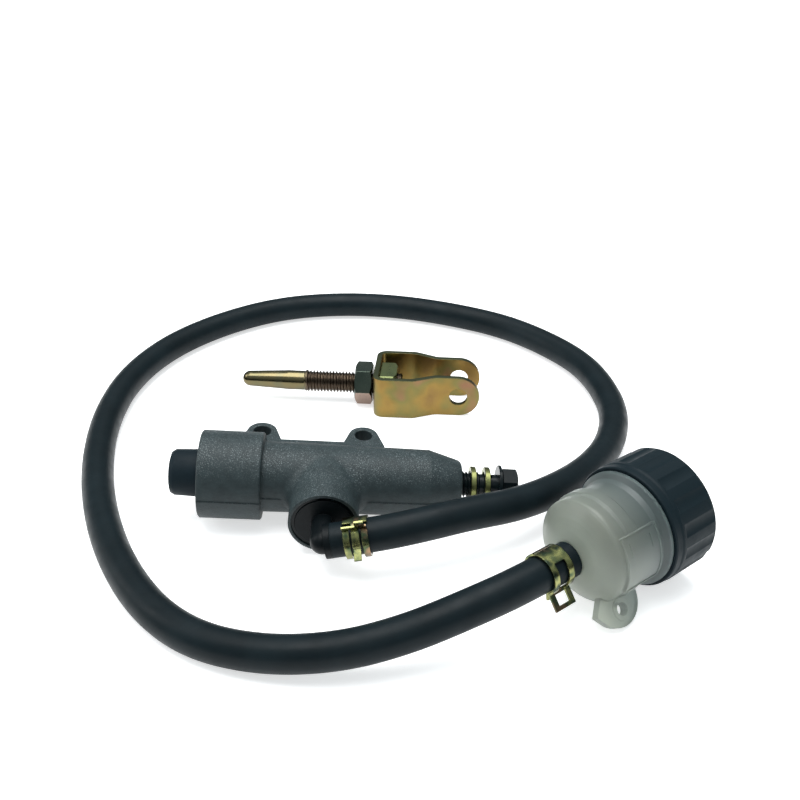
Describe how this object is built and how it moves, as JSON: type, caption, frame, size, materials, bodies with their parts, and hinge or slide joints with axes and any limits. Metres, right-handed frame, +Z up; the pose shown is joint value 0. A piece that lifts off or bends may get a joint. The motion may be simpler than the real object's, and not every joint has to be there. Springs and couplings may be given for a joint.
{
  "type": "brake master cylinder",
  "caption": "Rear brake master cylinder with inlet elbow, looped feed hose, remote fluid reservoir with screw cap, and a threaded pushrod with lock nut and clevis.",
  "frame": {"origin": "on the floor under the middle of the set, measured without the feed hose", "axes": "+Z up, +X from the boot end of the cylinder towards the reservoir, +Y from the reservoir towards the pushrod set"},
  "size_m": [0.2428, 0.2753, 0.0444],
  "materials": {
    "casting": "cast, satin",
    "black_rubber": "satin",
    "boot_rubber": "satin",
    "black_plastic": "satin",
    "black_steel": "black plated",
    "spring_steel": "satin",
    "piston_alloy": "machined",
    "brass_washer": "worn",
    "yellow_zinc": "yellow zinc plate",
    "rod_zinc": "olive brown zinc plate",
    "nut_zinc": "dark zinc plate",
    "milky_plastic": "translucent",
    "cap_plastic": "matte",
    "seal_rubber": "matte"
  },
  "bodies": {
    "base": {"cylinder_body": "casting", "dust_boot": "boot_rubber", "retaining_circlip": "spring_steel", "stop_washer": "spring_steel", "inlet_elbow": "black_plastic", "inlet_o_ring": "seal_rubber", "inlet_circlip": "black_steel", "feed_hose": "black_rubber", "body_hose_clamp": "yellow_zinc", "reservoir_hose_clamp": "yellow_zinc", "reservoir_cup": "milky_plastic", "return_spring": "spring_steel"},
    "piston_set": {"piston": "piston_alloy", "primary_cup": "seal_rubber", "secondary_cup": "seal_rubber", "spring_seat": "spring_steel"},
    "outer_washer": {"crush_washer_outer": "brass_washer"},
    "inner_washer": {"crush_washer_inner": "brass_washer"},
    "outlet_bolt": {"banjo_bolt": "black_steel"},
    "lid_lift": {"diaphragm": "seal_rubber", "diaphragm_plate": "black_plastic"},
    "lid": {"reservoir_cap": "cap_plastic"},
    "fork": {"clevis": "yellow_zinc", "joint_nut": "yellow_zinc"},
    "lock": {"lock_nut": "nut_zinc"},
    "rod": {"pushrod": "rod_zinc"}
  },
  "joints": [
    {"name": "piston_stroke", "type": "slide", "parent": "base", "child": "piston_set", "axis": [0.9964, 0.0348, -0.0767], "range_m": [0, 0.012], "stiffness_N_per_m": 400, "springref_m": -0.01, "deforming": ["return_spring"]},
    {"name": "outlet_bolt_travel", "type": "slide", "parent": "base", "child": "outer_washer", "axis": [0.9964, 0.0348, -0.0767], "range_m": [-0.007, 0]},
    {"name": "outlet_bolt_turn", "type": "hinge", "parent": "outer_washer", "child": "outlet_bolt", "pos_m": [0.02731, -0.01205, 0.01081], "axis": [0.9964, 0.0348, -0.0767], "range_deg": [-2018, 2]},
    {"name": "inner_washer_slide", "type": "slide", "parent": "base", "child": "inner_washer", "axis": [0.9964, 0.0348, -0.0767], "range_m": [-0.00351, 0.00001]},
    {"name": "lid_travel", "type": "slide", "parent": "base", "child": "lid_lift", "axis": [0.7944, 0.6074, 0], "range_m": [0, 0.012]},
    {"name": "lid_turn", "type": "hinge", "parent": "lid_lift", "child": "lid", "pos_m": [0.07553, -0.04665, 0.02222], "axis": [0.7944, 0.6074, 0], "range_deg": [-2, 1082]},
    {"name": "fork_lift", "type": "slide", "parent": "base", "child": "fork", "axis": [0, 0, 1], "range_m": [0, 0.06]},
    {"name": "rod_travel", "type": "slide", "parent": "fork", "child": "lock", "axis": [0.9969, -0.0785, 0], "range_m": [-0.008, 0.0006]},
    {"name": "rod_turn", "type": "hinge", "parent": "lock", "child": "rod", "pos_m": [-0.02642, 0.0713, 0.00952], "axis": [0.9969, -0.0785, 0], "range_deg": [-1922, 146]}
  ],
  "couplings": [
    {"joint": "outlet_bolt_turn", "follows": "outlet_bolt_travel", "rad_per_m": 5026.5},
    {"joint": "inner_washer_slide", "follows": "outlet_bolt_travel", "ratio": 0.5},
    {"joint": "lid_turn", "follows": "lid_travel", "rad_per_m": 1570.8},
    {"joint": "rod_turn", "follows": "rod_travel", "rad_per_m": 4188.8}
  ]
}
